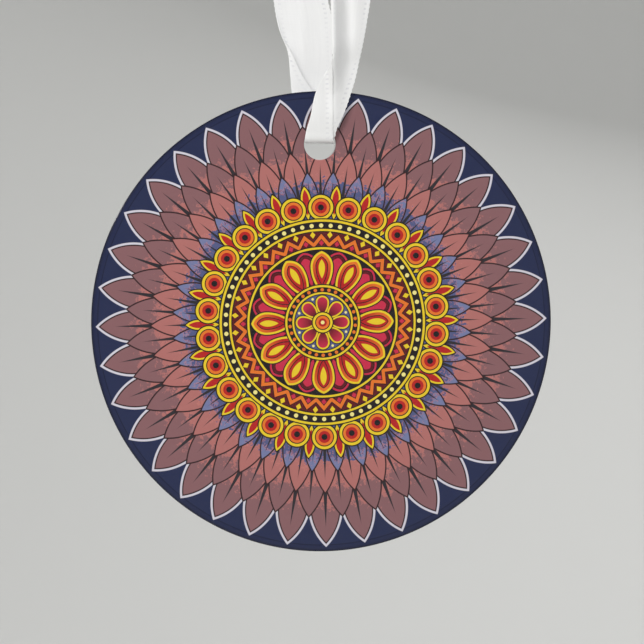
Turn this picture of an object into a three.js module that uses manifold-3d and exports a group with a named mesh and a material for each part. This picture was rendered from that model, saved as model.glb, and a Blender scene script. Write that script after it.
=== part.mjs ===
// A round hanging ornament: a clear acrylic disc with a printed face, held up by a satin ribbon
// that is threaded through a small hole near the disc's top rim and knotted above it.
// Millimetres, +Z up, printed face towards -Y. The origin is under the knot, where the loop hangs.
import * as THREE from 'three';
import * as BufferGeometryUtils from 'three/addons/utils/BufferGeometryUtils.js';
import Module from 'manifold-3d';

// Disc
const discDiameter = 73;
const discThickness = 3;
const edgeRounding = 0.8;
const roundingSteps = 3;
const holeDiameter = 5;
const holeBelowRim = 8.3;
const holeBevel = 0.25;
const discSegments = 120;
const holeSegments = 40;

// Ribbon
const clearance = 0.35;
const ribbonWidth = 10;
const ribbonThickness = 0.6;
const foldedThickness = 0.9;
const loopHeight = 46;
const standOff = 0.5;
const knotWidth = 9;
const knotDepth = 6.8;
const knotHeight = 7;
const bandThickness = 1.7;
const outerBandWidth = 4.6;
const innerBandWidth = 5.6;
const bandInset = 0.5;
const bandLean = 1;
const tailLength = 14;
const stepsPerSpan = 5;

// Sizes worked out from those above
const discRadius = discDiameter / 2;
const holeRadius = holeDiameter / 2;
const halfDisc = discThickness / 2;
const foldHalfWidth = (holeRadius - clearance) * 0.79;
const foldMiddle = Math.sqrt((holeRadius - clearance) ** 2 - foldHalfWidth ** 2) - foldedThickness / 2;
const nearDisc = halfDisc + clearance + ribbonThickness / 2 + standOff;
const freeHeight = loopHeight - holeBelowRim;
const knotMiddle = loopHeight + knotHeight / 2;

const wasm = await Module();
wasm.setup();

function toSolid(geometry) {
  const bare = geometry.clone();
  bare.deleteAttribute('normal');
  bare.deleteAttribute('uv');
  const merged = BufferGeometryUtils.mergeVertices(bare, 1e-4);
  return new wasm.Manifold(new wasm.Mesh({
    numProp: 3,
    vertProperties: new Float32Array(merged.attributes.position.array),
    triVerts: new Uint32Array(merged.index.array),
  }));
}

function toGeometry(solid) {
  const mesh = solid.getMesh();
  const geometry = new THREE.BufferGeometry();
  geometry.setAttribute('position', new THREE.BufferAttribute(mesh.vertProperties, 3));
  geometry.setIndex(new THREE.BufferAttribute(mesh.triVerts, 1));
  geometry.computeVertexNormals();
  return geometry;
}

// Disc: a turned plate about the Y axis, with rounded rims.
function makePlate() {
  const profile = [new THREE.Vector2(0, -halfDisc)];
  for (const side of [-1, 1]) {
    for (let i = 0; i <= roundingSteps; i += 1) {
      const share = side < 0 ? i / roundingSteps : 1 - i / roundingSteps;
      const angle = share * Math.PI / 2;
      profile.push(new THREE.Vector2(
        discRadius - edgeRounding + edgeRounding * Math.sin(angle),
        side * (halfDisc - edgeRounding + edgeRounding * Math.cos(angle)),
      ));
    }
  }
  profile.push(new THREE.Vector2(0, halfDisc));
  return new THREE.LatheGeometry(profile, discSegments);
}

// Cutter for the hole: a pin with flared ends, which bevel the hole's mouths.
function makeHoleCutter() {
  const beyond = 1;
  const flare = holeBevel + beyond;
  const outline = [
    [0, -halfDisc - beyond],
    [holeRadius + flare, -halfDisc - beyond],
    [holeRadius, -halfDisc + holeBevel],
    [holeRadius, halfDisc - holeBevel],
    [holeRadius + flare, halfDisc + beyond],
    [0, halfDisc + beyond],
  ];
  return new THREE.LatheGeometry(outline.map(([x, y]) => new THREE.Vector2(x, y)), holeSegments);
}

function makeDisc() {
  const cutter = makeHoleCutter();
  cutter.translate(0, 0, discRadius - holeBelowRim);
  return toGeometry(toSolid(makePlate()).subtract(toSolid(cutter)));
}

// Ribbon: a station is the strip's left edge, middle and right edge at one height above the hole's centre.
// Its places to the right and its depths beyond the disc's face are shares of the ribbon's width.
function station(side, height, places, depths) {
  const points = places.map((place, i) => [
    place * ribbonWidth,
    side * (nearDisc + depths[i] * ribbonWidth),
    height,
  ]);
  return { points, thickness: ribbonThickness };
}

// A station in the hole, where the ribbon is folded in two and fills the hole's upper part.
function foldedStation(side) {
  const points = [-foldHalfWidth, 0, foldHalfWidth].map((x) => [x, side * halfDisc, foldMiddle]);
  return { points, thickness: foldedThickness };
}

// A station at the knot's waist, where both strands are gathered.
function gatheredStation(side) {
  const half = knotWidth * 0.29;
  const depth = knotDepth * 0.13;
  const points = [[-half, depth], [0, depth * 1.3], [half, depth]].map(([x, y]) => [
    x,
    side * y,
    loopHeight + knotHeight * 0.15,
  ]);
  return { points, thickness: ribbonThickness };
}

const aboveRim = (share) => holeBelowRim + share * freeHeight;
const aboveHole = holeRadius * 1.4;

// The ribbon's run, from the knot down the back, through the hole and up the front.
const run = [
  gatheredStation(1),
  station(1, aboveRim(0.87), [-0.46, -0.12, 0.24], [0.04, 0.1, 0.04]),
  station(1, aboveRim(0.66), [-0.7, -0.28, 0.22], [0.2, 0.28, 0.22]),
  station(1, aboveRim(0.39), [-0.72, -0.26, 0.19], [0.2, 0.28, 0.22]),
  station(1, aboveRim(0.24), [-0.6, -0.18, 0.18], [0.14, 0.22, 0.18]),
  station(1, holeBelowRim, [-0.43, -0.1, 0.2], [0.02, 0.1, 0.06]),
  station(1, aboveHole, [-0.26, 0, 0.22], [0, 0.02, 0]),
  foldedStation(1),
  foldedStation(-1),
  station(-1, aboveHole, [-0.18, 0.04, 0.28], [0.04, 0, 0]),
  station(-1, holeBelowRim, [-0.07, 0.22, 0.5], [0.06, 0.09, 0]),
  station(-1, aboveRim(0.14), [0.19, 0.38, 0.64], [0.2, 0.03, -0.03]),
  station(-1, aboveRim(0.39), [0.19, 0.4, 0.82], [0.25, 0.06, 0.04]),
  station(-1, aboveRim(0.66), [0.13, 0.42, 0.84], [0.2, 0.1, 0.06]),
  station(-1, aboveRim(0.87), [-0.09, 0.22, 0.57], [0.1, 0.05, 0.02]),
  gatheredStation(-1),
];

// A strip of cloth as a closed solid, skinned over its three rails.
function makeStrip(list) {
  const rails = [0, 1, 2].map((rail) => {
    const railPoints = list.map(({ points }) => new THREE.Vector3(...points[rail]));
    return new THREE.CatmullRomCurve3(railPoints, false, 'centripetal');
  });
  const spans = list.length - 1;
  const count = spans * stepsPerSpan;
  const sections = [];
  for (let i = 0; i <= count; i += 1) {
    const t = i / count;
    const span = Math.min(Math.floor(t * spans), spans - 1);
    const share = t * spans - span;
    const half = THREE.MathUtils.lerp(list[span].thickness, list[span + 1].thickness, share) / 2;
    const points = rails.map((rail) => rail.getPoint(t));
    const along = rails[1].getTangent(t);
    const across = points[2].clone().sub(points[0]).normalize();
    const normal = across.clone().cross(along).normalize();
    const front = points.map((point) => point.clone().addScaledVector(normal, half));
    const back = points.map((point) => point.clone().addScaledVector(normal, -half));
    sections.push([...front, ...back.reverse()]);
  }
  return skinSections(sections);
}

// Joins closed cross-sections, all with the same number of points, into one closed mesh.
function skinSections(sections) {
  const size = sections[0].length;
  const positions = sections.flat().flatMap((point) => [point.x, point.y, point.z]);
  const index = [];
  for (let s = 0; s < sections.length - 1; s += 1) {
    for (let i = 0; i < size; i += 1) {
      const a = s * size + i;
      const b = s * size + (i + 1) % size;
      index.push(a, b, b + size, a, b + size, a + size);
    }
  }
  const last = (sections.length - 1) * size;
  for (let i = 0; i < size / 2 - 1; i += 1) {
    const [a, b, c, d] = [i, i + 1, size - 2 - i, size - 1 - i];
    index.push(a, d, c, a, c, b);
    index.push(last + a, last + b, last + c, last + a, last + c, last + d);
  }
  const geometry = new THREE.BufferGeometry();
  geometry.setAttribute('position', new THREE.Float32BufferAttribute(positions, 3));
  geometry.setIndex(index);
  return geometry;
}

// Knot: a core of gathered cloth, with two turns of the ribbon wound round it that lean opposite ways.
function makeKnot() {
  const core = new THREE.SphereGeometry(1, 28, 14);
  core.rotateX(Math.PI / 2);
  core.scale(knotWidth * 0.43, knotDepth * 0.37, knotHeight / 2);
  core.translate(0, 0, knotMiddle);
  return [core, makeBand(0, outerBandWidth, bandLean), makeBand(bandInset, innerBandWidth, -bandLean)];
}

// One turn round the knot: a flattened ring that is narrower at the knot's sides than at its front and back.
function makeBand(inset, width, lean) {
  const stepsAround = 44;
  const stepsAcross = 14;
  const reach = knotWidth / 2 - bandThickness / 2 - inset;
  const depth = knotDepth / 2 - bandThickness / 2 - inset;
  const positions = [];
  const index = [];
  for (let i = 0; i < stepsAround; i += 1) {
    const around = i / stepsAround * Math.PI * 2;
    const half = width / 2 * (0.72 + 0.28 * Math.abs(Math.sin(around)) ** 1.5);
    for (let j = 0; j < stepsAcross; j += 1) {
      const turn = j / stepsAcross * Math.PI * 2;
      const out = bandThickness / 2 * Math.cos(turn);
      positions.push(
        (reach + out) * Math.cos(around),
        (depth + out) * Math.sin(around),
        knotMiddle + half * Math.sin(turn) + lean * Math.cos(around),
      );
      const a = i * stepsAcross + j;
      const b = i * stepsAcross + (j + 1) % stepsAcross;
      const nextTurn = ((i + 1) % stepsAround - i) * stepsAcross;
      index.push(a, a + nextTurn, b, b, a + nextTurn, b + nextTurn);
    }
  }
  const geometry = new THREE.BufferGeometry();
  geometry.setAttribute('position', new THREE.Float32BufferAttribute(positions, 3));
  geometry.setIndex(index);
  return geometry;
}

// Tails: the ribbon's two ends above the knot, leaning apart, widening from the knot and cut off slanting.
function makeTail(side) {
  const foot = loopHeight + knotHeight * 0.8;
  const tailStation = (share, width, slant, depth) => {
    const half = ribbonWidth * width / 2;
    const middle = side * (0.06 * knotWidth + tailLength * 0.62 * share ** 1.2);
    const height = foot + tailLength * 0.78 * share;
    const y = side * depth * knotDepth;
    const drop = side * slant * tailLength;
    const points = [
      [middle - half, y, height + drop],
      [middle, y * 1.3, height],
      [middle + half, y, height - drop],
    ];
    return { points, thickness: ribbonThickness };
  };
  return makeStrip([
    tailStation(0, 0.32, 0, 0.11),
    tailStation(0.5, 0.7, 0.09, 0.19),
    tailStation(1, 0.8, 0.19, 0.28),
  ]);
}

function makeRibbon() {
  const sections = [makeStrip(run), ...makeKnot(), makeTail(-1), makeTail(1)];
  return toGeometry(wasm.Manifold.union(sections.map(toSolid)));
}

const printedAcrylic = new THREE.MeshStandardMaterial({ color: 0x5b3d4a, roughness: 0.12, metalness: 0 });
const whiteSatin = new THREE.MeshStandardMaterial({ color: 0xe9e9ec, roughness: 0.45, metalness: 0 });

const disc = new THREE.Mesh(makeDisc(), printedAcrylic);
disc.name = 'acrylic_disc';
disc.position.set(0, 0, -loopHeight - (discRadius - holeBelowRim));

const ribbon = new THREE.Mesh(makeRibbon(), whiteSatin);
ribbon.name = 'ribbon';
ribbon.position.set(0, 0, -loopHeight);

const ornament = new THREE.Group();
ornament.add(disc, ribbon);

export default ornament;
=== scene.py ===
"""A round printed acrylic ornament hanging on a white satin ribbon, dressed around its fixed frame."""
from math import cos, pi, radians, sin, sqrt

import bpy
import numpy as np
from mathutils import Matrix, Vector


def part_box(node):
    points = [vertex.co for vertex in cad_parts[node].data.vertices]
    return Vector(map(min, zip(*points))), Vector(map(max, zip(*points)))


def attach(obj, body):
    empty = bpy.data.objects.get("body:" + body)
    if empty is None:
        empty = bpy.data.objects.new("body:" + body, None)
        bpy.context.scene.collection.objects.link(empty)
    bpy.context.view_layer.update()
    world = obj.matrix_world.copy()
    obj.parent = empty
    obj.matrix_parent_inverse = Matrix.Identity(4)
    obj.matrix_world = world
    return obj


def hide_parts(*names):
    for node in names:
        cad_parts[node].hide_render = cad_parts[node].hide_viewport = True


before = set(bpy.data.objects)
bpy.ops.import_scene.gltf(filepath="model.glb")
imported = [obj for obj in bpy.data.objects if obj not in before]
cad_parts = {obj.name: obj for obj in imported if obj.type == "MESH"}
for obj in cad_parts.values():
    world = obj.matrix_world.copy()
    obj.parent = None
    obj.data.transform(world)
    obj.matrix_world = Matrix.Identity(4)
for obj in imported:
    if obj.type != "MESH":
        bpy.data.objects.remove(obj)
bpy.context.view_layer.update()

MM = 0.001

# Sizes read from the frame, and the hole's sizes as the part has them
disc_low, disc_high = (Vector(corner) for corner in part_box("acrylic_disc"))
DISC_CENTRE = (disc_low + disc_high) / 2
DISC_RADIUS = (disc_high.x - disc_low.x) / 2
DISC_FRONT = disc_low.y
DISC_BACK = disc_high.y
HOLE_RADIUS = 2.5 * MM
HOLE_BELOW_RIM = 8.3 * MM
HOLE_CENTRE = Vector((DISC_CENTRE.x, DISC_CENTRE.y, disc_high.z - HOLE_BELOW_RIM))

# The camera looks at the disc's middle from a little to the left and a little above
PHOTO_FIELD = 102.4 * MM
CAMERA_DISTANCE = 0.36
CAMERA_TURN = -4.0
CAMERA_RISE = 3.0
CAMERA_ROLL = 0.9


def srgb(red, green, blue):
    """A colour as seen on a screen, in linear light, with full alpha."""
    def linear(value):
        value = value / 255
        return value / 12.92 if value <= 0.04045 else ((value + 0.055) / 1.055) ** 2.4
    return (linear(red), linear(green), linear(blue), 1.0)


class Link:
    """A socket in a material that can be used in arithmetic."""

    def __init__(self, paint, socket):
        self.paint = paint
        self.socket = socket

    def math(self, operation, *others, clamp=False):
        settings = {"operation": operation, "use_clamp": clamp}
        return self.paint.add("ShaderNodeMath", settings, dict(enumerate((self, *others))))

    def __add__(self, other):
        return self.math("ADD", other)

    __radd__ = __add__

    def __sub__(self, other):
        return self.math("SUBTRACT", other)

    def __rsub__(self, other):
        return self.paint.add("ShaderNodeMath", {"operation": "SUBTRACT"}, {0: other, 1: self})

    def __mul__(self, other):
        return self.math("MULTIPLY", other)

    __rmul__ = __mul__

    def __truediv__(self, other):
        return self.math("DIVIDE", other)

    def __abs__(self):
        return self.math("ABSOLUTE")


class Paint:
    """A material with one Principled shader."""

    def __init__(self, name, **constants):
        self.material = bpy.data.materials.new(name)
        self.material.use_nodes = True
        self.tree = self.material.node_tree
        self.shader = next(node for node in self.tree.nodes if node.type == "BSDF_PRINCIPLED")
        for socket, value in constants.items():
            self.shader.inputs[socket.replace("_", " ")].default_value = value

    def add(self, kind, settings, sockets, output=0):
        node = self.tree.nodes.new(kind)
        for name, value in settings.items():
            setattr(node, name, value)
        for key, value in sockets.items():
            if isinstance(value, Link):
                self.tree.links.new(value.socket, node.inputs[key])
            else:
                node.inputs[key].default_value = value
        return Link(self, node.outputs[output])

    def feed(self, socket, link):
        self.tree.links.new(link.socket, self.shader.inputs[socket])

    def mix(self, share, first, second):
        return self.add("ShaderNodeMix", {"data_type": "RGBA"}, {0: share, 6: first, 7: second}, 2)

    def split(self, vector):
        node = self.add("ShaderNodeSeparateXYZ", {}, {0: vector}).socket.node
        return [Link(self, output) for output in node.outputs]

    def place_mm(self, centre):
        """Object coordinates in millimetres, counted from a centre."""
        place = self.add("ShaderNodeTexCoord", {}, {}, 3)
        shift = [-value / MM for value in centre]
        return self.add("ShaderNodeMapping", {}, {"Vector": place, "Location": shift, "Scale": (1 / MM,) * 3})


# Shapes of the printed rosette, drawn with signed distances in millimetres
LINE_SOFTNESS = 0.05


def inside(distance, inset=0.0):
    """One where the distance lies more than inset inside a shape, zero outside it."""
    slope = 1 / LINE_SOFTNESS
    return distance.math("MULTIPLY_ADD", slope, 0.5 - inset * slope, clamp=True)


class Rosette:
    """The print's plane, in polar terms about the disc's middle."""

    def __init__(self, paint, ground):
        self.paint = paint
        self.place = paint.place_mm(DISC_CENTRE)
        x, _, z = paint.split(self.place)
        self.radius = (x * x + z * z).math("SQRT")
        self.angle = x.math("ARCTAN2", z)
        self.colour = ground
        self.grain = paint.add("ShaderNodeTexNoise", {}, {
            "Vector": self.place, "Scale": 1.7, "Detail": 3.0, "Roughness": 0.65,
        }) - 0.5

    def lay(self, mask, colour):
        self.colour = self.paint.mix(mask, self.colour, colour)

    def rings(self, distance, *steps):
        """Lays nested colours inside one shape, each from its inset inwards."""
        for inset, colour in steps:
            self.lay(inside(distance, inset), colour)

    def fade(self, first, second, start, stop):
        """A colour that goes from first to second between two radii."""
        share = self.radius.math("MULTIPLY_ADD", 1 / (stop - start), -start / (stop - start), clamp=True)
        return self.paint.mix(share, first, second)

    def mottle(self, inner, outer, border, fleck):
        """Two tones that meet in a ragged border, with flecks along it."""
        edge = self.radius - border + self.grain * 6.0
        tones = self.paint.mix(inside(edge), inner, outer)
        flecks = inside(0.35 - abs(self.radius - border + self.grain * 9.0))
        return self.paint.mix(flecks * 0.45, tones, fleck)

    def sector(self, count, phase=0.0):
        """Sideways and outward place within one of count equal sectors."""
        turn = self.angle.math("MULTIPLY_ADD", count / (2 * pi), phase)
        local = (turn - turn.math("ROUND")) * (2 * pi / count)
        return self.radius * local.math("SINE"), self.radius * local.math("COSINE")

    def petal(self, place, widest, half_width, tip, root):
        """Distance inside a pointed petal whose tip and root lie at two radii."""
        across, out = place
        curves = [(half_width ** 2 + (end - widest) ** 2) / (2 * half_width) for end in (tip, root)]
        beyond = out.math("GREATER_THAN", widest)
        curve = beyond.math("MULTIPLY_ADD", curves[0] - curves[1], curves[1])
        side = abs(across) + curve - half_width
        along = out - widest
        return curve - (side * side + along * along).math("SQRT")

    def vein(self, place, root, tip, half_width):
        """Distance inside a thin dart that tapers from its root to its tip."""
        across, out = place
        taper = out.math("MULTIPLY_ADD", -half_width / (tip - root), half_width * tip / (tip - root))
        return (taper - abs(across)).math("MINIMUM", out - root)

    def dot(self, place, out, size):
        across, outward = place
        along = outward - out
        return size - (across * across + along * along).math("SQRT")

    def diamond(self, place, out, half_width, half_length):
        across, outward = place
        reach = abs(across) / half_width + abs(outward - out) / half_length
        return (1 - reach) * (half_width * half_length / sqrt(half_width ** 2 + half_length ** 2))

    def chevron(self, place, out, half_width, rise, thickness):
        """Distance inside a zigzag line of one chevron a sector."""
        across, outward = place
        slant = rise / half_width
        line = outward - out - rise / 2 + abs(across) * slant
        return thickness / 2 - abs(line) / sqrt(1 + slant ** 2)

    def plate(self, radius):
        return radius - self.radius


NAVY = srgb(32, 41, 78)
# The next two colours and two widths are painted shade along the rounded edge: a darker band, its thin inner
# line and a dark border at the very rim
RIM_SHADE_NAVY = srgb(25, 33, 70)
EDGE_SHADE_NAVY = srgb(10, 15, 40)
RIM_BAND = 1.05
RIM_BORDER = 0.55
WHITE_LINE = srgb(216, 212, 224)
DARK_LINE = srgb(50, 28, 32)
VEIN = srgb(46, 42, 48)
BLACK = srgb(26, 18, 22)
ROSE_BROWN = srgb(140, 98, 102)
ROSE = srgb(182, 114, 110)
FLECK = srgb(212, 132, 124)
SLATE = srgb(86, 92, 136)
PALE_SLATE = srgb(120, 126, 168)
CREAM = srgb(248, 236, 150)
YELLOW = srgb(240, 208, 40)
ORANGE = srgb(236, 120, 40)
RED = srgb(186, 30, 30)
CRIMSON = srgb(206, 44, 76)
MAROON = srgb(94, 16, 24)


def lay_rim_shade(rosette):
    """Painted shade for the look of the rounded edge: a band a little darker, with a thin dark line and a
    dark border.
    """
    rim = DISC_RADIUS / MM
    from_rim = rim - rosette.radius
    rosette.lay(inside(RIM_BAND - from_rim) * 0.6, RIM_SHADE_NAVY)
    rosette.lay(inside(0.08 - abs(from_rim - RIM_BAND)) * 0.6, EDGE_SHADE_NAVY)
    rosette.lay(from_rim.math("MULTIPLY_ADD", -1 / RIM_BORDER, 1.0, clamp=True), EDGE_SHADE_NAVY)


def lay_petals(rosette):
    """Overlapping tiers of rose petals, whose roots fade into slate blue."""
    count = 36
    white_edge = [(0, WHITE_LINE), (0.34, DARK_LINE)]
    dark_edge = [(0, DARK_LINE)]
    tiers = [
        (0.0, 29.4, 2.75, 35.8, 14.0, white_edge, 0.54, (ROSE, ROSE_BROWN, 28.8), (25.5, 32.6, 0.42)),
        (0.5, 25.0, 2.35, 31.2, 13.0, dark_edge, 0.22, (ROSE, ROSE_BROWN, 25.8), (20.5, 28.4, 0.42)),
        (0.0, 21.6, 2.0, 27.4, 12.0, dark_edge, 0.22, (SLATE, ROSE, 22.2), (18.5, 25.0, 0.36)),
        (0.5, 19.6, 1.5, 24.0, 12.0, dark_edge, 0.22, (SLATE, PALE_SLATE, 21.6), (18.0, 22.4, 0.3)),
    ]
    for phase, widest, half_width, tip, root, outline, rim, tones, vein in tiers:
        place = rosette.sector(count, phase)
        shape = rosette.petal(place, widest, half_width, tip, root)
        rosette.rings(shape, *outline, (rim, rosette.mottle(*tones, FLECK)))
        rosette.rings(rosette.vein(place, *vein), (0, VEIN))


def lay_medallion(rosette):
    """Beads, studs, zigzag, ogive petals and a small flower, from the edge to the middle."""
    darts = rosette.petal(rosette.sector(26, 0.5), 19.6, 0.95, 21.9, 16.0)
    rosette.rings(darts, (0, BLACK), (0.18, YELLOW), (0.45, RED))
    beads = rosette.dot(rosette.sector(26), 18.2, 2.15)
    rosette.rings(beads, (0, BLACK), (0.2, YELLOW), (0.62, BLACK), (0.78, ORANGE), (1.2, RED), (1.68, BLACK))
    rosette.rings(rosette.plate(16.5), (0, BLACK), (0.2, YELLOW), (0.55, BLACK))
    rosette.rings(rosette.dot(rosette.sector(64), 15.35, 0.33), (0, CREAM))
    rosette.rings(rosette.plate(14.8), (0, YELLOW), (0.32, BLACK), (0.5, MAROON))
    zigzag = rosette.sector(32)
    rosette.rings(rosette.chevron(zigzag, 12.9, 1.27, 1.5, 0.75), (0, BLACK), (0.12, ORANGE))
    rosette.rings(rosette.diamond(rosette.sector(32, 0.5), 13.9, 0.42, 0.55), (0, YELLOW))
    rosette.rings(rosette.diamond(zigzag, 12.6, 0.4, 0.45), (0, CRIMSON))
    rosette.rings(rosette.plate(12.1), (0, BLACK), (0.18, YELLOW), (0.5, BLACK))
    behind = rosette.petal(rosette.sector(12, 0.5), 9.3, 1.8, 11.4, 4.5)
    rosette.rings(behind, (0, CRIMSON), (0.3, BLACK), (0.45, MAROON), (0.9, CRIMSON))
    before = rosette.sector(12)
    rosette.rings(
        rosette.petal(before, 8.9, 1.95, 11.5, 4.4),
        (0, BLACK), (0.18, YELLOW), (0.5, rosette.fade(RED, ORANGE, 7.0, 10.5)), (0.95, BLACK), (1.08, RED),
    )
    rosette.rings(rosette.petal(before, 8.7, 0.5, 10.0, 7.0), (0, YELLOW))
    rosette.rings(rosette.plate(6.1), (0, BLACK), (0.18, YELLOW), (0.5, BLACK))
    rosette.rings(rosette.dot(rosette.sector(30), 5.2, 0.27), (0, ORANGE))
    rosette.rings(rosette.plate(4.8), (0, YELLOW), (0.28, BLACK), (0.42, SLATE))
    rosette.rings(
        rosette.petal(rosette.sector(8), 3.2, 1.2, 4.4, 0.8),
        (0, BLACK), (0.14, YELLOW), (0.38, rosette.fade(MAROON, CRIMSON, 1.6, 4.0)),
    )
    rosette.rings(rosette.dot(rosette.sector(8, 0.5), 4.0, 0.2), (0, CREAM))
    rosette.rings(
        rosette.plate(1.75),
        (0, BLACK), (0.18, YELLOW), (0.55, BLACK), (0.7, ORANGE), (1.1, RED), (1.45, CREAM),
    )


def printed_rosette():
    """Glossy print: tiers of petals on navy around a red and gold medallion."""
    paint = Paint("printed_rosette", Roughness=0.09, IOR=1.49)
    rosette = Rosette(paint, NAVY)
    # Painted shade along the rounded edge, laid into the print's colour
    lay_rim_shade(rosette)
    lay_petals(rosette)
    lay_medallion(rosette)
    paint.feed("Base Color", rosette.colour)
    return paint.material


def clear_acrylic():
    """Clear polished acrylic, see-through by plain values."""
    return Paint(
        "clear_acrylic", Base_Color=(0.98, 0.99, 0.99, 1), Roughness=0.02, IOR=1.49, Transmission_Weight=1.0,
    ).material


def white_underprint():
    """White ink, faintly uneven, under a glossy varnish."""
    paint = Paint("white_underprint", Roughness=0.35, Coat_Weight=0.6, Coat_Roughness=0.08)
    place = paint.place_mm(DISC_CENTRE)
    cloud = paint.add("ShaderNodeTexNoise", {}, {"Vector": place, "Scale": 0.35, "Detail": 3.0})
    paint.feed("Base Color", paint.mix(cloud, srgb(232, 232, 234), srgb(243, 243, 244)))
    return paint.material


# White satin: its pattern follows the cloth, so it reads the ribbon's own map
RIBBON_WIDTH = 10.0
SELVEDGE_INSET = 0.95
STITCH_PITCH = 0.78
STITCH_WIDTH = 0.5


def white_satin(length):
    """White satin with fine ribs and a row of stitches inside each selvedge."""
    paint = Paint("white_satin", Roughness=0.42, Sheen_Weight=0.25, Sheen_Roughness=0.4)
    cloth = paint.add("ShaderNodeUVMap", {"uv_map": "UVMap"}, {})
    u, v, _ = paint.split(cloth)
    across = u * RIBBON_WIDTH
    along = v * length
    edge = across.math("MINIMUM", RIBBON_WIDTH - across)
    row = inside(STITCH_WIDTH / 2 - abs(edge - SELVEDGE_INSET), -0.03)
    step = inside((along / STITCH_PITCH).math("PINGPONG", 0.5) * STITCH_PITCH - STITCH_PITCH * 0.31)
    stitch = row * step
    streaks = paint.add("ShaderNodeTexNoise", {"noise_dimensions": "2D"}, {
        "Vector": paint.add("ShaderNodeCombineXYZ", {}, {0: across * 2.2, 1: along * 0.12}),
        "Scale": 1.0,
        "Detail": 4.0,
    })
    ribs = (along * (2 * pi / 0.42)).math("SINE")
    plain = paint.mix(streaks, srgb(245, 245, 246), srgb(252, 252, 252))
    wear = paint.add("ShaderNodeTexNoise", {"noise_dimensions": "2D"}, {
        "Vector": paint.add("ShaderNodeCombineXYZ", {}, {0: across * 0.3, 1: along * 0.15}),
        "Scale": 1.0,
    })
    thread = wear.math("MULTIPLY_ADD", 1.1, -0.46, clamp=True) + 0.05
    paint.feed("Base Color", paint.mix(stitch * thread, plain, srgb(196, 196, 206)))
    relief = ribs * 0.12 + streaks * 0.8 - stitch * thread * 2.0
    paint.feed("Normal", paint.add("ShaderNodeBump", {}, {
        "Height": relief,
        "Strength": 0.25,
        "Distance": 0.05 * MM,
    }))
    paint.feed("Roughness", paint.add("ShaderNodeMapRange", {}, {0: streaks, 3: 0.34, 4: 0.5}))
    return paint.material


def deselect():
    if bpy.context.object and bpy.context.object.mode != "OBJECT":
        bpy.ops.object.mode_set(mode="OBJECT")
    bpy.ops.object.select_all(action="DESELECT")


def settle(piece, name):
    """Names a piece and moves its place into its mesh."""
    deselect()
    piece.select_set(True)
    bpy.context.view_layer.objects.active = piece
    bpy.ops.object.transform_apply(location=True, rotation=True, scale=True)
    piece.name = name
    piece.data.name = name
    return piece


def apply_modifier(piece, kind, **settings):
    deselect()
    piece.select_set(True)
    bpy.context.view_layer.objects.active = piece
    modifier = piece.modifiers.new(kind.title(), kind)
    for name, value in settings.items():
        setattr(modifier, name, value)
    bpy.ops.object.modifier_apply(modifier=modifier.name)


def finish_piece(piece, slot, *nodes, smooth=30):
    deselect()
    piece.select_set(True)
    bpy.context.view_layer.objects.active = piece
    bpy.ops.object.shade_smooth_by_angle(angle=radians(smooth))
    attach(piece, "root")
    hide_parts(*nodes)


# Disc: its edges are rounded by arcs of a radius and a sweep
FRONT_ARC = (4.0 * MM, radians(16))
BACK_ARC = (0.6 * MM, radians(90))
BACKING_ARC = (0.03 * MM, radians(90))
PRINT_DEPTH = FRONT_ARC[0] * (1 - cos(FRONT_ARC[1]))
BACKING_DEPTH = 0.04 * MM
BACKING_MARGIN = 0.9 * MM
BOND = 0.01 * MM
HOLE_BEVEL = 0.2 * MM
RIM_STEPS = 256
ARC_STEPS = 8


def select_flat(piece, side):
    """Goes into edit mode with the flat faces on one side selected."""
    deselect()
    piece.select_set(True)
    bpy.context.view_layer.objects.active = piece
    bpy.ops.object.mode_set(mode="EDIT")
    bpy.ops.mesh.select_mode(type="FACE")
    bpy.ops.mesh.select_all(action="DESELECT")
    bpy.ops.object.mode_set(mode="OBJECT")
    for polygon in piece.data.polygons:
        polygon.select = polygon.normal.y * side > 0.999
    bpy.ops.object.mode_set(mode="EDIT")


def plate(name, flat, far, arc, margin=0.0, hole_bevel=HOLE_BEVEL):
    """A round plate whose edge curves in towards its flat side, with the ribbon's hole through it."""
    radius, sweep = arc
    side = 1 if flat > far else -1
    wall_end = flat - side * radius * (1 - cos(sweep))
    middle = (wall_end + far) / 2
    deselect()
    bpy.ops.mesh.primitive_cylinder_add(
        vertices=RIM_STEPS, radius=DISC_RADIUS - margin, depth=abs(wall_end - far), rotation=(pi / 2, 0, 0),
        location=(DISC_CENTRE.x, middle, DISC_CENTRE.z),
    )
    body = settle(bpy.context.object, name)
    select_flat(body, side)
    turns = [sweep * (1 - step / ARC_STEPS) for step in range(ARC_STEPS + 1)]
    for before, after in zip(turns, turns[1:]):
        inset = radius * (sin(before) - sin(after))
        rise = radius * (cos(after) - cos(before))
        bpy.ops.mesh.inset(thickness=inset, depth=rise)
    bpy.ops.object.mode_set(mode="OBJECT")
    deselect()
    bpy.ops.mesh.primitive_cylinder_add(
        vertices=96, radius=HOLE_RADIUS + margin, depth=abs(flat - far) * 3, rotation=(pi / 2, 0, 0),
        location=(HOLE_CENTRE.x, middle, HOLE_CENTRE.z),
    )
    drill = settle(bpy.context.object, "drill")
    apply_modifier(body, "BOOLEAN", operation="DIFFERENCE", object=drill, solver="EXACT")
    bpy.data.objects.remove(drill)
    if hole_bevel:
        bevel_hole(body, flat, HOLE_RADIUS + margin, hole_bevel)
    select_flat(body, side)
    bpy.ops.mesh.inset(thickness=0.05 * MM)
    bpy.ops.object.mode_set(mode="OBJECT")
    return body


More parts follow.
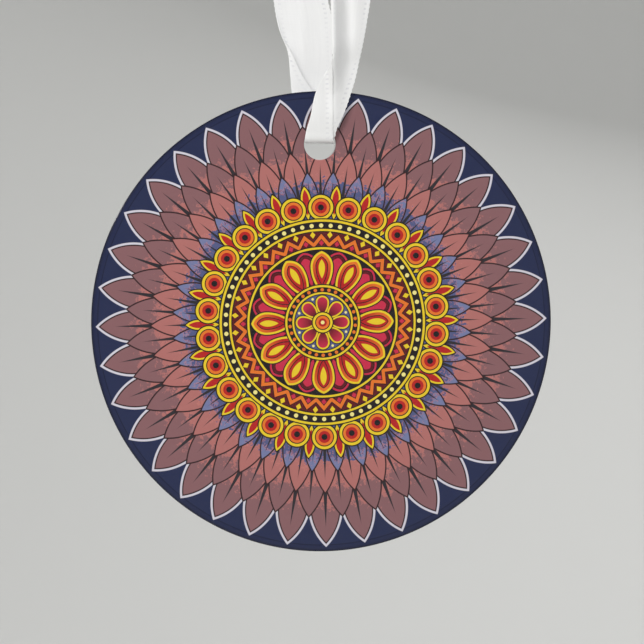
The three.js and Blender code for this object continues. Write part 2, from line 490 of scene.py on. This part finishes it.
def bevel_hole(piece, depth, radius, width):
    """Breaks the sharp edge of the hole's mouth at one depth."""
    near = 0.002 * MM
    points = np.array([vertex.co for vertex in piece.data.vertices])
    out = np.hypot(points[:, 0] - HOLE_CENTRE.x, points[:, 2] - HOLE_CENTRE.z)
    on_rim = (abs(out - radius) < near) & (abs(points[:, 1] - depth) < near)
    deselect()
    piece.select_set(True)
    bpy.context.view_layer.objects.active = piece
    bpy.ops.object.mode_set(mode="EDIT")
    bpy.ops.mesh.select_mode(type="EDGE")
    bpy.ops.mesh.select_all(action="DESELECT")
    bpy.ops.object.mode_set(mode="OBJECT")
    for edge in piece.data.edges:
        edge.select = bool(on_rim[edge.vertices[0]] and on_rim[edge.vertices[1]])
    bpy.ops.object.mode_set(mode="EDIT")
    bpy.ops.mesh.bevel(offset=width, segments=4, profile=0.5, affect="EDGES")
    bpy.ops.object.mode_set(mode="OBJECT")


def make_acrylic():
    """The clear body between the print and the white backing, whose faces it overlaps by a hair."""
    front = DISC_FRONT + PRINT_DEPTH + BOND
    body = plate("clear_acrylic_body", DISC_BACK - BACKING_DEPTH, front, BACK_ARC, margin=BOND)
    body.data.materials.append(clear_acrylic())
    finish_piece(body, "printed_acrylic", "acrylic_disc")
    return body


def make_print():
    far = DISC_FRONT + PRINT_DEPTH + 2 * BOND
    face = plate("printed_face", DISC_FRONT, far, FRONT_ARC, hole_bevel=PRINT_DEPTH * 0.8)
    face.data.materials.append(printed_rosette())
    face.data.materials.append(white_underprint())
    for polygon in face.data.polygons:
        if polygon.normal.y > 0.9:
            polygon.material_index = 1
    finish_piece(face, "printed_acrylic", "acrylic_disc")
    return face


def make_backing():
    """The layer of white ink on the back, a little inside the edges."""
    far = DISC_BACK - BACKING_DEPTH - BOND
    backing = plate("white_backing", DISC_BACK, far, BACKING_ARC, margin=BACKING_MARGIN, hole_bevel=0)
    backing.data.materials.append(white_underprint())
    finish_piece(backing, "printed_acrylic", "acrylic_disc")
    return backing


# Ribbon: its stations in millimetres from the hole's centre, from tail to tail
# Each: near selvedge, fold, far selvedge, share of the width before the fold, both layers' bulges
BACK_TAIL = [
    ((-15.5, -3.6, 62.0), None, (-8.0, -3.0, 66.5), 0.0, (0, 0), (0, -0.8)),
    ((-10.5, -3.0, 57.6), None, (-3.5, -2.6, 61.5), 0.0, (0, 0), (0, -0.9)),
    ((-3.2, -1.2, 52.6), None, (1.2, -1.0, 54.4), 0.0, (0, 0), (0, 0.8)),
    ((2.2, 0.9, 49.4), None, (-2.2, 0.9, 49.4), 0.0, (0, 0), (0, 0.9)),
]
BACK_STRAND = [
    ((2.8, 0.9, 46.0), None, (-2.6, 0.9, 46.0), 1.0, (0, 1.4), (0, 0)),
    ((2.8, 3.2, 40.5), None, (-4.8, 3.0, 40.5), 1.0, (0, 1.0), (0, 0)),
    ((1.6, 4.6, 33.0), None, (-6.6, 4.2, 33.0), 1.0, (0, 0.7), (0, 0)),
    ((2.05, 4.8, 23.1), None, (-6.6, 4.3, 23.15), 1.0, (0, 0.5), (0, 0)),
    ((2.53, 4.8, 20.9), None, (-6.3, 4.2, 20.8), 1.0, (0, 0.4), (0, 0)),
    ((2.6, 4.7, 17.6), (-5.55, 4.1, 17.6), (-5.5, 4.0, 17.5), 0.97, (0, 0.3), (0, 0)),
    ((2.6, 4.5, 15.1), (-4.6, 3.9, 15.1), (-4.15, 3.75, 15.0), 0.92, (0, 0.3), (0, 0)),
    ((2.6, 4.1, 11.1), (-4.2, 3.5, 11.0), (-2.35, 3.62, 11.0), 0.78, (0, 0.3), (0, -0.03)),
    ((2.6, 3.6, 8.3), (-4.0, 3.2, 8.35), (-0.65, 3.36, 8.3), 0.67, (0, 0.2), (0, -0.05)),
    ((2.5, 3.1, 5.0), (-3.2, 2.9, 5.2), (0.6, 2.8, 5.2), 0.59, (0, 0.1), (0, -0.05)),
    ((2.2, 2.5, 2.2), (-2.4, 2.3, 2.4), (1.8, 2.1, 2.8), 0.52, (0, 0.1), (0, 0)),
]
THROUGH_HOLE = [
    ((2.1, 1.5, 0.4), (-2.2, 1.5, 0.5), (1.65, 1.4, 1.4), 0.5, (0, 0), (0, 0)),
    ((2.1, 0.0, 0.2), (-2.2, 0.0, 0.35), (1.7, 0.0, 1.3), 0.5, (0, 0), (0, 0)),
    ((2.1, -1.5, 0.1), (-2.3, -1.5, 0.2), (1.85, -1.4, 0.85), 0.5, (0, 0), (0, 0)),
    ((2.05, -2.15, 0.35), (-2.4, -2.1, 0.4), (2.15, -1.87, 0.75), 0.49, (0, 0), (0, 0)),
]
FRONT_STRAND = [
    ((1.96, -2.49, 2.0), (-2.15, -2.53, 2.0), (2.55, -2.34, 2.1), 0.47, (0, -0.1), (0, 0)),
    ((1.98, -2.75, 4.2), (-1.5, -2.95, 4.2), (3.55, -2.48, 4.2), 0.4, (0, -0.1), (0, 0)),
    ((1.98, -2.865, 8.0), (-0.6, -3.2, 8.0), (5.0, -2.2, 8.0), 0.3, (0, -0.1), (-0.2, 0)),
    ((1.96, -3.1, 10.5), (0.5, -3.4, 10.3), (5.8, -1.9, 10.5), 0.17, (0, 0), (-0.3, 0.1)),
    ((1.93, -3.1, 12.8), None, (6.35, -1.9, 12.9), 0.0, (0, 0), (-0.2, 0.2)),
    ((1.88, -3.1, 15.3), None, (6.9, -2.2, 15.4), 0.0, (0, 0), (-0.2, 0.1)),
    ((1.88, -3.1, 19.1), None, (7.65, -2.3, 19.2), 0.0, (0, 0), (-0.2, 0.1)),
    ((1.86, -3.2, 22.3), None, (8.2, -2.4, 22.4), 0.0, (0, 0), (-0.2, 0.1)),
    ((1.5, -3.4, 33.0), None, (8.6, -2.8, 33.0), 0.0, (0, 0), (-0.2, 0.1)),
    ((-0.9, -3.6, 40.5), None, (5.8, -2.8, 40.5), 0.0, (0, 0), (-0.2, 1.2)),
    ((-2.6, -0.9, 46.0), None, (2.6, -0.9, 46.0), 0.0, (0, 0), (0, -1.4)),
]
FRONT_TAIL = [
    ((-2.2, -0.9, 49.4), None, (2.2, -0.9, 49.4), 0.0, (0, 0), (0, -0.9)),
    ((-1.2, 1.0, 54.4), None, (3.2, 1.2, 52.6), 0.0, (0, 0), (0, 0.8)),
    ((3.5, 2.4, 61.5), None, (10.5, 2.8, 57.6), 0.0, (0, 0), (0, 0.9)),
    ((8.0, 3.0, 66.5), None, (15.5, 3.4, 62.0), 0.0, (0, 0), (0, 0.6)),
]
STATIONS = BACK_TAIL + BACK_STRAND + THROUGH_HOLE + FRONT_STRAND + FRONT_TAIL
PATH_SAMPLES = 4000
ROWS_PER_STITCH = 3
LAYER_COLUMNS = 18
LEAST_LAYER = 0.04
RIBBON_THICKNESS = 0.1 * MM
PICOT = 0.08
# Creases along the strands (1 the back one, -1 the front one): how far they stand back at some heights
CREASES = [
    {
        "strand": 1, "place": -1.9, "widths": (2.0, 1.2), "sharpness": 1,
        "run": [(9, 0), (16, -0.26), (33, -0.26), (46, 0)],
    },
    {
        "strand": -1, "place": 2.2, "widths": (0.8, 1.4), "sharpness": 2,
        "run": [(1, 0), (4.2, -0.5), (8, -0.7), (10.5, -1.2), (12.8, -1.7), (15, -2.0), (33, -1.6), (42, 0)],
    },
    {
        "strand": -1, "place": 5.9, "widths": (0.9, 1.3), "sharpness": 2,
        "run": [(12, 0), (17, -0.35), (33, -0.35), (42, 0)],
    },
]
# The back strand's far side curls forward where it starts to fold over
CURL_DEPTH = 0.5
CURL_WIDTH = 0.5
CURL_TOP = 23.0
CURL_FULL = 18.0
CURL_NEAREST = 2.1
CURL_ONSET = 0.7


def smooth_path(points, steps):
    """Points along a smooth curve through the given ones, at fractional steps between them."""
    points = np.array(points, float)
    whole = np.clip(np.floor(steps).astype(int), 0, len(points) - 2)
    share = (steps - whole)[:, None]
    gaps = np.linalg.norm(np.diff(points, axis=0), axis=1) + 1e-9
    unit = np.diff(points, axis=0) / gaps[:, None]
    slopes = np.zeros_like(points)
    slopes[0] = unit[0]
    slopes[-1] = unit[-1]
    weight = (gaps[1:] / (gaps[:-1] + gaps[1:]))[:, None]
    slopes[1:-1] = unit[:-1] * weight + unit[1:] * (1 - weight)
    gap = gaps[whole][:, None]
    a, b = points[whole], points[whole + 1]
    m, n = slopes[whole] * gap, slopes[whole + 1] * gap
    return (
        (2 * share ** 3 - 3 * share ** 2 + 1) * a + (share ** 3 - 2 * share ** 2 + share) * m
        + (3 * share ** 2 - 2 * share ** 3) * b + (share ** 3 - share ** 2) * n
    )


def ribbon_rows():
    """The ribbon's points in millimetres from the hole's centre, their places on the cloth, its length."""
    near = [station[0] for station in STATIONS]
    far = [station[2] for station in STATIONS]
    share = np.array([station[3] for station in STATIONS])
    fold = []
    for start, middle, end, part, _, _ in STATIONS:
        if middle is None:
            middle = start if part < 0.5 else end
        fold.append(middle)
    bulges = [np.array([[*station[k], 0] for station in STATIONS], float) for k in (4, 5)]
    stations = np.arange(len(STATIONS))
    fine = np.linspace(0, stations[-1], PATH_SAMPLES)
    centre = (smooth_path(near, fine) + smooth_path(far, fine)) / 2
    walked = np.concatenate([[0], np.cumsum(np.linalg.norm(np.diff(centre, axis=0), axis=1))])
    stitches = int(round(walked[-1] / STITCH_PITCH))
    length = walked[-1]
    steps = np.interp(np.linspace(0, length, stitches * ROWS_PER_STITCH + 1), walked, fine)
    near, fold, far = (smooth_path(rail, steps) for rail in (near, fold, far))
    bulges = [smooth_path(bulge, steps) for bulge in bulges]
    share = np.interp(steps, stations, share)
    grid_fold = np.interp(steps, stations, fold_columns())
    columns = np.arange(2 * LAYER_COLUMNS + 1)
    grid = np.empty((len(steps), len(columns), 3))
    cloth = np.empty((len(steps), len(columns), 2))
    for row, part in enumerate(share):
        turn = fold_place(part) if 0 < part < 1 else grid_fold[row]
        places = np.interp(columns, (0, LAYER_COLUMNS, columns[-1]), (0, turn, 1))
        for column, place in enumerate(places):
            first = place < part or part >= 1
            width = part if first else 1 - part
            t = place / width if first else (place - part) / width
            start, end = (near[row], fold[row]) if first else (fold[row], far[row])
            bulge = bulges[0][row] if first else bulges[1][row]
            grid[row, column] = start + (end - start) * t + bulge * 4 * t * (1 - t)
        grid[row, :, 1] += soft_creases(grid[row]) + forward_curl(grid[row], far[row])
        cloth[row, :, 0] = places
        if row % ROWS_PER_STITCH == 0:
            for edge, inner in ((0, 2), (-1, -3)):
                outwards = grid[row, edge] - grid[row, inner]
                grid[row, edge] += outwards / np.linalg.norm(outwards) * PICOT
    cloth[:, :, 1] = np.linspace(0, 1, len(steps))[:, None]
    return grid, cloth, length


def soft_creases(points):
    """How far one row of the ribbon stands back at its lengthwise creases."""
    strand = np.sign(points[:, 1].mean())
    depth = np.zeros(len(points))
    for crease in CREASES:
        if strand == crease["strand"]:
            heights, depths = zip(*crease["run"])
            aside = points[:, 0] - crease["place"]
            width = np.where(aside < 0, *crease["widths"])
            shape = np.exp(-(abs(aside) / width) ** crease["sharpness"])
            depth += np.interp(points[:, 2].mean(), heights, depths) * shape
    return depth


def forward_curl(points, far):
    """How far one row of the back strand comes forward beside its far selvedge."""
    rise = np.clip((CURL_TOP - far[2]) / (CURL_TOP - CURL_FULL), 0, 1)
    rise *= np.clip((far[1] - CURL_NEAREST) / CURL_ONSET, 0, 1)
    aside = np.maximum(points[:, 0] - far[0], 0)
    return -CURL_DEPTH * rise * rise * (3 - 2 * rise) * np.exp(-aside / CURL_WIDTH)


def fold_place(share):
    """The fold's place across the cloth, kept off its edges so that each layer has some width."""
    return np.clip(share, LEAST_LAYER, 1 - LEAST_LAYER)


def fold_columns():
    """Where the middle column lies across the cloth: at the fold, and at the middle far from it."""
    places = []
    for index, station in enumerate(STATIONS):
        beside = STATIONS[max(index - 1, 0):index + 2]
        folded = any(other[1] is not None for other in beside)
        places.append(fold_place(station[3]) if folded else 0.5)
    return places


def make_ribbon():
    grid, cloth, length = ribbon_rows()
    deselect()
    bpy.ops.mesh.primitive_grid_add(
        x_subdivisions=2 * LAYER_COLUMNS, y_subdivisions=len(grid) - 1, size=1, calc_uvs=True,
    )
    ribbon = settle(bpy.context.object, "satin_ribbon")
    points = (grid * MM + np.array(HOLE_CENTRE)).reshape(-1, 3)
    ribbon.data.vertices.foreach_set("co", points.ravel())
    corners = np.empty(len(ribbon.data.loops), int)
    ribbon.data.loops.foreach_get("vertex_index", corners)
    ribbon.data.uv_layers[0].data.foreach_set("uv", cloth.reshape(-1, 2)[corners].ravel())
    ribbon.data.update()
    apply_modifier(ribbon, "SOLIDIFY", thickness=RIBBON_THICKNESS, offset=0.0)
    ribbon.data.materials.append(white_satin(length))
    finish_piece(ribbon, "white_satin", "ribbon", smooth=40)
    return ribbon, length * MM


# Knot: a pleated core and two bands of ribbon wound round it, which cross at the front and the back
KNOT_MIDDLE = 49.6
KNOT_CORE = (3.9, 2.5, 3.5)
KNOT_BANDS = {
    "knot_under_wrap": {"reach": 3.1, "depth": 1.9, "width": 5.6, "lean": -0.75, "phase": 0.4},
    "knot_over_wrap": {"reach": 3.6, "depth": 2.5, "width": 4.6, "lean": 1.0, "phase": 2.1},
}
BAND_HALF_THICKNESS = 0.85
BAND_WAIST = 0.72
KNOT_CLOTH_LENGTH = 30.0


def make_knot_core():
    """The gathered cloth inside the knot, pleated towards both necks."""
    deselect()
    bpy.ops.mesh.primitive_uv_sphere_add(segments=112, ring_count=40, radius=1)
    core = settle(bpy.context.object, "ribbon_knot")
    wide, deep, tall = KNOT_CORE
    for vertex in core.data.vertices:
        x, y, z = vertex.co
        around = np.arctan2(y, x)
        pleats = 1 + 0.07 * sin(7 * around + 2 * z) + 0.04 * sin(13 * around - 3 * z)
        vertex.co = (
            x * wide * pleats * MM,
            y * deep * pleats * MM,
            (KNOT_MIDDLE + z * tall) * MM + HOLE_CENTRE.z,
        )
    core.data.materials.append(white_satin(KNOT_CLOTH_LENGTH))
    finish_piece(core, "white_satin", "ribbon", smooth=60)
    return core


def make_knot_band(name, reach, depth, width, lean, phase):
    """One turn of the ribbon round the knot, creased along its length and pinched at the sides."""
    deselect()
    bpy.ops.mesh.primitive_torus_add(
        major_segments=160, minor_segments=48, major_radius=1, minor_radius=0.25, generate_uvs=True,
    )
    band = settle(bpy.context.object, name)
    count = len(band.data.vertices)
    cloth = np.empty((count, 2))
    for vertex in band.data.vertices:
        x, y, z = vertex.co
        around = np.arctan2(y, x)
        turn = np.arctan2(z, np.hypot(x, y) - 1)
        across = sin(turn)
        pinch = BAND_WAIST + (1 - BAND_WAIST) * abs(sin(around)) ** 1.5
        crease = 0.16 * sin(8 * across + phase + sin(around)) + 0.08 * sin(17 * across - 2 * around)
        out = BAND_HALF_THICKNESS * cos(turn) * (1 + crease)
        vertex.co = (
            (reach + out) * cos(around) * MM,
            (depth + out) * sin(around) * MM,
            (KNOT_MIDDLE + width / 2 * across * pinch + lean * cos(around)) * MM + HOLE_CENTRE.z,
        )
        cloth[vertex.index] = (0.5 + across / 2, around / (2 * pi))
    corners = np.empty(len(band.data.loops), int)
    band.data.loops.foreach_get("vertex_index", corners)
    places = cloth[corners].reshape(-1, 4, 2)
    seam = np.ptp(places[:, :, 1], axis=1) > 0.5
    places[seam, :, 1] = np.where(places[seam, :, 1] < 0, places[seam, :, 1] + 1, places[seam, :, 1])
    band.data.uv_layers[0].data.foreach_set("uv", places.ravel())
    band.data.materials.append(white_satin(2 * pi * (reach + depth) / 2))
    finish_piece(band, "white_satin", "ribbon", smooth=60)
    return band


def add_camera():
    turn, rise = radians(CAMERA_TURN), radians(CAMERA_RISE)
    away = Vector((sin(turn) * cos(rise), -cos(turn) * cos(rise), sin(rise)))
    data = bpy.data.cameras.new("camera")
    data.sensor_width = 36.0
    data.lens = data.sensor_width * CAMERA_DISTANCE / PHOTO_FIELD
    data.clip_start = 0.01
    camera = bpy.data.objects.new("camera", data)
    camera.location = DISC_CENTRE + away * CAMERA_DISTANCE
    look = (-away).to_track_quat("-Z", "Y").to_euler()
    camera.rotation_euler = look
    camera.rotation_euler.rotate_axis("Z", radians(-CAMERA_ROLL))
    bpy.context.collection.objects.link(camera)
    bpy.context.scene.camera = camera


def add_panel(name, place, size, energy, colour=(1, 1, 1)):
    """A soft light panel aimed at the disc."""
    data = bpy.data.lights.new(name, "AREA")
    data.shape = "RECTANGLE"
    data.size, data.size_y = size
    data.energy = energy
    data.color = colour
    panel = bpy.data.objects.new(name, data)
    panel.location = DISC_CENTRE + Vector(place)
    panel.rotation_euler = (DISC_CENTRE - panel.location).to_track_quat("-Z", "Y").to_euler()
    bpy.context.collection.objects.link(panel)


STAGE_RADIUS = 0.95
STAGE_DROP = 0.25
STAGE_HEIGHT = 0.9
STAGE_CURVE = 0.6


def add_stage():
    """A pale round floor, well below the hanging disc, that sweeps up into a low wall all round."""
    floor_height = disc_low.z - STAGE_DROP
    middle = floor_height + STAGE_HEIGHT / 2
    deselect()
    bpy.ops.mesh.primitive_cylinder_add(
        vertices=160, radius=STAGE_RADIUS, depth=STAGE_HEIGHT, location=(0, 0, middle),
    )
    sweep = settle(bpy.context.object, "studio_sweep")
    select_level(sweep, floor_height + STAGE_HEIGHT)
    bpy.ops.mesh.delete(type="ONLY_FACE")
    select_level(sweep, floor_height)
    bpy.ops.mesh.bevel(offset=STAGE_CURVE, segments=24, affect="EDGES")
    bpy.ops.mesh.select_all(action="SELECT")
    bpy.ops.mesh.normals_make_consistent(inside=True)
    bpy.ops.object.mode_set(mode="OBJECT")
    bpy.ops.object.shade_smooth()
    paint = Paint("studio_paper", Base_Color=srgb(204, 204, 202), Roughness=0.9)
    sweep.data.materials.append(paint.material)


def select_level(piece, height):
    """Goes into edit mode with the edges and faces at one height selected."""
    bpy.ops.object.mode_set(mode="EDIT")
    bpy.ops.mesh.select_mode(type="VERT")
    bpy.ops.mesh.select_all(action="DESELECT")
    bpy.ops.object.mode_set(mode="OBJECT")
    for vertex in piece.data.vertices:
        vertex.select = abs(vertex.co.z - height) < 0.001
    bpy.ops.object.mode_set(mode="EDIT")
    bpy.ops.mesh.select_mode(type="EDGE")


def light_studio():
    world = bpy.data.worlds.new("studio_air")
    world.use_nodes = True
    world.node_tree.nodes["Background"].inputs[0].default_value = (0.98, 0.99, 1.0, 1)
    world.node_tree.nodes["Background"].inputs[1].default_value = 0.45
    bpy.context.scene.world = world
    add_panel("key_panel", (-0.354, -0.453, 0.232), (0.18, 0.18), 1.45, (1.0, 0.99, 0.97))
    add_panel("top_panel", (0.1, -0.45, 0.85), (0.5, 0.5), 2.9)
    add_panel("back_panel", (0.3, 0.6, 0.4), (0.6, 0.6), 3.4)
    bpy.context.scene.view_settings.view_transform = "Standard"


add_camera()
ribbon, ribbon_length = make_ribbon()
knot = [make_knot_core()] + [make_knot_band(name, **sizes) for name, sizes in KNOT_BANDS.items()]
acrylic = make_acrylic()
face = make_print()
backing = make_backing()
add_stage()
light_studio()
